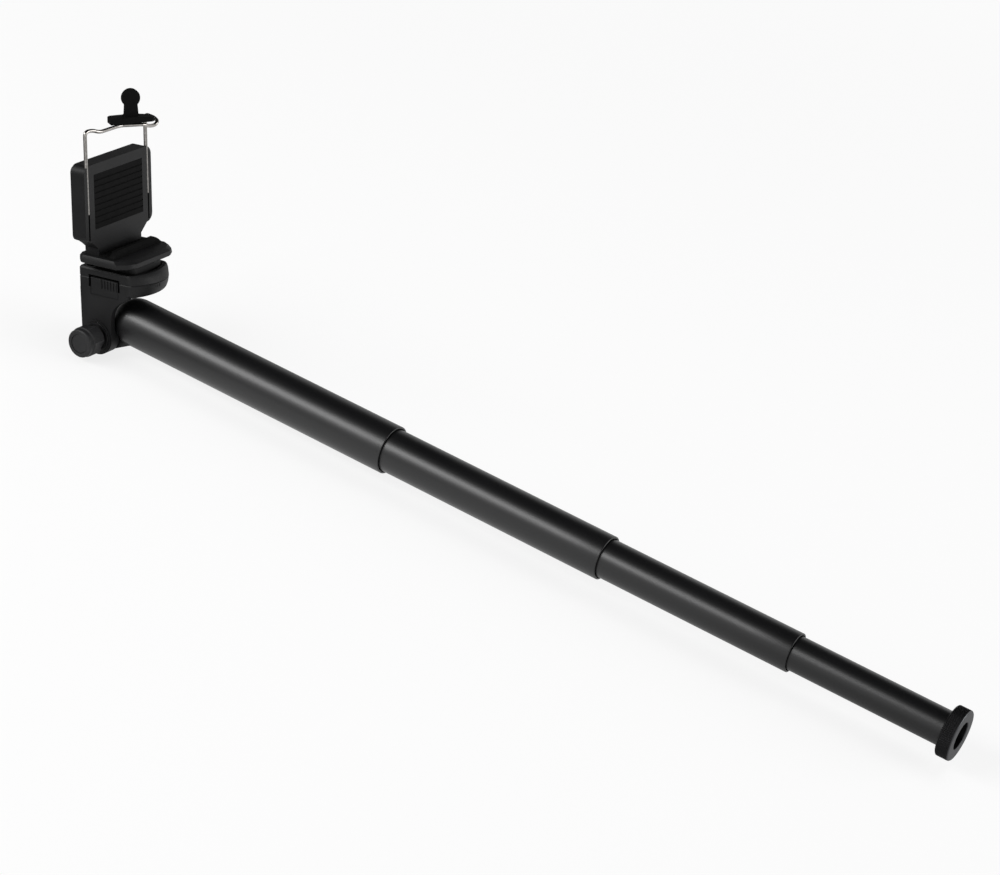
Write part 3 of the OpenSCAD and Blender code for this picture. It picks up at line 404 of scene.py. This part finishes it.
# Head, lever and knob: millimetres from the tilt axis, x forwards, y away from the knob, z up the arm
TILT, COS, SIN = (-545.5, 0.0, -9.83), 0.97767, 0.21013
HEAD = Matrix(((COS, 0, -SIN, TILT[0]), (0, 1, 0, TILT[1]), (SIN, 0, COS, TILT[2]), (0, 0, 0, 1)))
ARM_FACE, SILL_FLOOR, PLATFORM_UNDERSIDE = -17.6, 24.0, 27.45
PIN_Y, PIN_Z = -15.9, 26.0
TUBE_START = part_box("tube_1")[0][0]


def in_head(x, y, z):
    """A point given in the head's millimetres, in the row frame in metres."""
    return (HEAD @ Vector((x, y, z))) * MM


def from_tilt(point):
    """A point of the row frame in the head's millimetres."""
    return HEAD.inverted() @ (point / MM)


def prism(bm, outline, start, stop, across):
    """A block with the same outline from start to stop: along x for across "x", else along y."""
    if across == "x":
        skin(bm, [[in_head(x, *point) for point in outline] for x in (start, stop)])
    else:
        skin(bm, [[in_head(x, y, z) for x, z in outline] for y in (start, stop)])


def rounded_box(bm, low, high, radius, segments=3):
    """A block with round edges between two opposite corners."""
    verts = [bm.verts.new(in_head(x, y, z)) for x in (low[0], high[0])
             for y in (low[1], high[1]) for z in (low[2], high[2])]
    faces = [bm.faces.new([verts[k] for k in quad]) for quad in
             ((0, 1, 3, 2), (4, 6, 7, 5), (0, 4, 5, 1), (2, 3, 7, 6), (0, 2, 6, 4), (1, 5, 7, 3))]
    edges = list({e for f in faces for e in f.edges})
    bmesh.ops.bevel(bm, geom=edges, offset=radius * MM, segments=segments, profile=0.5, affect="EDGES")


def release_lever():
    """Lever in its window: a thin plate with a rolled lower end, six thumb ribs and the latch nose."""
    left, right, top, plate, roll = -3.1, 16.4, 35.4, 2.6, 1.68
    rib_start, rib_step, rib_half, rib_proud, rib_low = left + 7.8, 2.14, 0.42, 0.6, 29.9
    bm = bmesh.new()
    rounded_box(bm, (left, ARM_FACE, PIN_Z - 0.2), (right, ARM_FACE + plate, top), 0.25)
    rounded_box(bm, (5.4, ARM_FACE + plate - 0.4, 31.6), (8.4, -11.87, 33.2), 0.15)
    for i in range(6):
        x = rib_start + i * rib_step
        rounded_box(bm, (x - rib_half, ARM_FACE - rib_proud, rib_low),
                    (x + rib_half, ARM_FACE + 0.4, top - 0.15), 0.3, 4)
    rolled = [(PIN_Y + roll * math.sin(a), PIN_Z + roll * math.cos(a)) for a in turn(24)]
    prism(bm, rolled, left, right, "x")
    to_piece("release_lever_ribbed", bm, "release_lever", crease=50)


def window_sill():
    """Lower edge of the lever's window, hollowed to follow the lever's rolled end, a hair's breadth
    away. Its outer corner is broken, so that the lever clears it when swung right out."""
    reach, corner_at, steps = 1.8, 25.28, 8
    start, stop = math.radians(205), math.radians(270)
    outline = [(PIN_Y, SILL_FLOOR), (ARM_FACE, SILL_FLOOR), (ARM_FACE, corner_at)]
    for a in (start + (stop - start) * i / steps for i in range(steps + 1)):
        outline.append((PIN_Y + reach * math.cos(a), PIN_Z + reach * math.sin(a)))
    bm = bmesh.new()
    prism(bm, outline, -3.4, 16.7, "x")
    sill = to_piece("lever_window_sill", bm, slot="moulded", crease=50)
    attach(sill, BODY_OF["head_body"])


def sweep_arm_front(bm):
    """Cuts the arm's front edge back to one long hollow curve that runs out under the platform."""
    start, up, out = Vector((10.95, 11.2)), Vector((10.95, 19.5)), Vector((17.5, 24))
    end, past, steps = Vector((26.1, PLATFORM_UNDERSIDE)), 34.0, 28
    outline = []
    for u in (k / steps for k in range(steps + 1)):
        v = 1 - u
        outline.append(start * v ** 3 + up * 3 * v * v * u + out * 3 * v * u * u + end * u ** 3)
    outline += [(past, end.y), (past, start.y)]
    tool = bmesh.new()
    prism(tool, outline, -19.5, -11.5, "y")
    bmesh.ops.recalc_face_normals(tool, faces=tool.faces)
    arm, cutter = placed("arm", bm.copy()), placed("cutter", tool)
    cut = arm.modifiers.new("cut", "BOOLEAN")
    cut.operation, cut.solver, cut.object = "DIFFERENCE", "EXACT", cutter
    apply_modifiers(arm)
    bm.clear()
    bm.from_mesh(arm.data)
    for obj in (arm, cutter):
        bpy.data.meshes.remove(obj.data)


def at_sill(point):
    """Picks the edges where the lever's window meets the sill."""
    x, y, z = from_tilt(point)
    return y < -17 and abs(z - SILL_FLOOR) < 0.05


def at_arm_back(point):
    """Picks the outer edge down the back of the arm."""
    x, y, z = from_tilt(point)
    return x < -10.5 and y < -17.5 and 2 < z < 27


def past_dome(point):
    """Picks the neck's edges inside the first tube."""
    return point.x > TUBE_START - 0.0005


release_lever()
window_sill()
soft_edged("neck", 0.3, slot="anodised", sharp=past_dome)
soft_edged("head_body", 0.3, sharp=at_sill, rounder=at_arm_back, shaped=sweep_arm_front)
for part, width in (("platform_top", 0.35), ("knob", 0.35), ("knob_cap", 0.15),
                    ("shoe", 0.4), ("shoe_pad", 0.2), ("clip_pad", 0.12), ("clip_back", 0.6),
                    ("back_pad", 0.15), ("clip_cover", 0.25), ("jaw_block", 0.5), ("pull_tab", 0.6),
                    ("knob_washer", 0.1), ("camera_screw", 0.15)):
    soft_edged(part, width)

# Clip: the base plate's front lip takes the black rubber finish, darker than the plate, and one bent wire
# holds the block
LIP_BACK, LIP_FRONT, LIP_FOOT = 13.6, 17.7, 50.05
base = soft_edged("clip_base", 0.35)
base.data.materials.append(MATERIALS["rubber"])
for face in base.data.polygons:
    x, y, z = from_tilt(face.center)
    if LIP_BACK < x < LIP_FRONT and z > LIP_FOOT:
        face.material_index = 1


def rounded_route(corners, reach, steps=8):
    """The corners' polyline with each bend turned into a smooth curve."""
    corners = [Vector(c) for c in corners]
    route = [corners[0]]
    for a, b, c in zip(corners, corners[1:], corners[2:]):
        cut = min(reach, (a - b).length * 0.48, (c - b).length * 0.48)
        start, end = b + (a - b).normalized() * cut, b + (c - b).normalized() * cut
        for u in (k / steps for k in range(steps + 1)):
            route.append(start * (1 - u) ** 2 + b * 2 * u * (1 - u) + end * u * u)
    return route + [corners[-1]]


def bent_wire(name, corners, radius, node):
    """Round wire bent along a route given in the head's millimetres, with smooth bends."""
    route = rounded_route(corners, reach=3.2)
    side = Vector((1, 0.2, 0))
    rings = []
    for before, point, after in zip(route[:1] + route, route, route[1:] + route[-1:]):
        ahead = (after - before).normalized()
        side = (side - ahead * side.dot(ahead)).normalized()
        other = ahead.cross(side)
        rings.append([in_head(*(point + (side * math.cos(a) + other * math.sin(a)) * radius))
                      for a in turn(20)])
    bm = bmesh.new()
    skin(bm, rings)
    to_piece(name, bm, node, crease=60)


LEG_X, LEG_Y, LEG_Z, TOP, HOOK_X = 3.9, 26.3, 76.0, 121.0, 14.8
bent_wire("bail_bent_wire", [
    (LEG_X, -LEG_Y, LEG_Z), (LEG_X, -LEG_Y, TOP + 2.6), (LEG_X + 0.5, -LEG_Y + 5.6, TOP + 2.5),
    (LEG_X + 2.1, -LEG_Y + 10.2, TOP + 0.7), (LEG_X + 2.4, 1.4, TOP + 0.7), (HOOK_X - 0.5, 12, TOP + 0.3),
    (HOOK_X, 16, TOP - 1.4), (HOOK_X, LEG_Y - 5, TOP - 2.2), (HOOK_X, LEG_Y - 1.9, TOP - 0.6),
    (HOOK_X - 3.4, LEG_Y - 0.5, TOP + 0.7), (LEG_X, LEG_Y, TOP + 1.7), (LEG_X, LEG_Y, LEG_Z)],
    1.08, "bail_wire")

for name, obj in NODES.items():
    finish_with(obj, SLOT_OF[name])
    shade_up_to(obj.data, 32)

# Studio: white paper under the part, softboxes, and white walls below a dark ceiling
scene = bpy.context.scene
MIDDLE, FLOOR_GAP, FLOOR_HALF = (-0.3, 0.0, 0.0), 0.0005, 12.0
floor_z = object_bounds()[0][2] - FLOOR_GAP
bm = bmesh.new()
bmesh.ops.create_grid(bm, x_segments=1, y_segments=1, size=FLOOR_HALF)
floor = placed("studio_floor", bm)
floor.location = (MIDDLE[0], MIDDLE[1], floor_z)


def white_paper_sweep():
    """Paper sweep: plain white to the camera far off, while near the part it keeps some of its own
    shade, and with it the shadow. In a gloss its glow is painted darker towards the foot and behind
    the head, a painted shade that darkens the tubes there as they do in the photograph."""
    mat, tree, place = new_material("white_paper_sweep")
    paper = add(tree, "ShaderNodeBsdfDiffuse", {"Color": srgb("#F4F4F4")})
    rays = add(tree, "ShaderNodeLightPath").outputs
    along = add(tree, "ShaderNodeSeparateXYZ", {"Vector": place}).outputs["X"]
    to_foot = add(tree, "ShaderNodeMapRange", {"Value": along, "From Min": -0.05, "From Max": 0.4,
                                               "To Min": 0.0, "To Max": 0.65},
                  interpolation_type="SMOOTHSTEP")
    behind = add(tree, "ShaderNodeMapRange", {"Value": along, "From Min": -0.35, "From Max": -0.17,
                                              "To Min": 0.95, "To Max": 0.0},
                 interpolation_type="SMOOTHSTEP")
    # Painted shade in the gloss: the glow the tubes reflect is dimmed towards the foot and behind the head
    ends = add(tree, "ShaderNodeMath", {0: to_foot, 1: behind}, operation="ADD")
    painted_gloss_shade = add(tree, "ShaderNodeMath", {0: ends, 1: rays["Is Glossy Ray"]}, operation="MULTIPLY")
    glow = add(tree, "ShaderNodeMath", {0: 1.0, 1: painted_gloss_shade}, operation="SUBTRACT")
    white = add(tree, "ShaderNodeEmission", {"Strength": glow, "Color": srgb("#FFFFFF")})
    far = add(tree, "ShaderNodeVectorMath", {0: place}, operation="LENGTH").outputs["Value"]
    share = add(tree, "ShaderNodeMapRange", {"Value": far, "From Min": 0.5, "From Max": 2.0,
                                             "To Min": 0.8, "To Max": 1.0},
                interpolation_type="SMOOTHSTEP")
    seen = add(tree, "ShaderNodeMath", {0: rays["Is Camera Ray"], 1: rays["Is Glossy Ray"]},
               operation="MAXIMUM")
    seen_white = add(tree, "ShaderNodeMath", {0: seen, 1: share}, operation="MULTIPLY")
    blend = add(tree, "ShaderNodeMixShader", {0: seen_white, 1: paper, 2: white})
    add(tree, "ShaderNodeOutputMaterial", {"Surface": blend})
    # The softboxes light the part, not the paper's glow
    mat.cycles.emission_sampling = "NONE"
    return mat


floor.data.materials.append(white_paper_sweep())

# The walls are white up to eye level and the ceiling is dark, so the tubes keep a dark band, and the
# wall behind the head is dark too, so no light rim shows on the neck's dome beside the arm
world = bpy.data.worlds.new("studio")
scene.world = world
world.use_nodes = True
tree = emptied(world.node_tree)
rays = add(tree, "ShaderNodeLightPath").outputs
toward = add(tree, "ShaderNodeSeparateXYZ",
             {"Vector": add(tree, "ShaderNodeTexCoord").outputs["Generated"]}).outputs
paint = add(tree, "ShaderNodeValToRGB", {"Fac": toward["Z"]},
            ((0.0, "#FFFFFF"), (0.3, "#F2F2F2"), (0.62, "#1C1C1C")))
side = add(tree, "ShaderNodeMapRange", {"Value": toward["X"], "From Min": -0.7, "From Max": -0.3,
                                        "To Min": 0.1, "To Max": 1.0}, interpolation_type="SMOOTHSTEP")
walls = add(tree, "ShaderNodeBackground", {"Color": paint, "Strength": side})
clear = add(tree, "ShaderNodeBackground", {"Color": srgb("#FFFFFF"), "Strength": 1.0})
sky = add(tree, "ShaderNodeMixShader", {0: rays["Is Camera Ray"], 1: walls, 2: clear})
add(tree, "ShaderNodeOutputWorld", {"Surface": sky})


def softbox(name, place, aim, size, power, in_gloss=True):
    """A rectangular lamp of size metres and power watts, aimed at a point."""
    light = bpy.data.lights.new(name, "AREA")
    light.shape = "RECTANGLE"
    light.size, light.size_y = size
    light.energy = power
    obj = bpy.data.objects.new(name, light)
    obj.location = place
    obj.rotation_euler = (Vector(aim) - Vector(place)).to_track_quat("-Z", "Y").to_euler()
    obj.visible_glossy = in_gloss
    scene.collection.objects.link(obj)


# A long strip beside the tubes draws one soft highlight along them and round the domed neck
softbox("strip_softbox", (-2.2, -1.55, 1.3), (-2.2, 0, 0), (3.1, 0.75), 66)
softbox("top_softbox", (0.1, 0.5, 2.3), MIDDLE, (1.8, 1.8), 20, in_gloss=False)
softbox("end_softbox", (1.5, 0.9, 0.9), MIDDLE, (1.6, 1.0), 18)

# Camera as it was fitted to the photograph
camera = bpy.data.objects.new("photo_camera", bpy.data.cameras.new("photo_camera"))
camera.data.sensor_width = 36.0
camera.data.sensor_fit = "HORIZONTAL"
camera.data.lens = 97.497
camera.data.clip_start, camera.data.clip_end = 0.01, 50.0
camera.location = (0.280368, -1.145658, 0.713919)
camera.rotation_euler = [math.radians(a) for a in (61.50170, -11.55653, 32.58225)]
scene.collection.objects.link(camera)
scene.camera = camera
scene.view_settings.view_transform = "Standard"
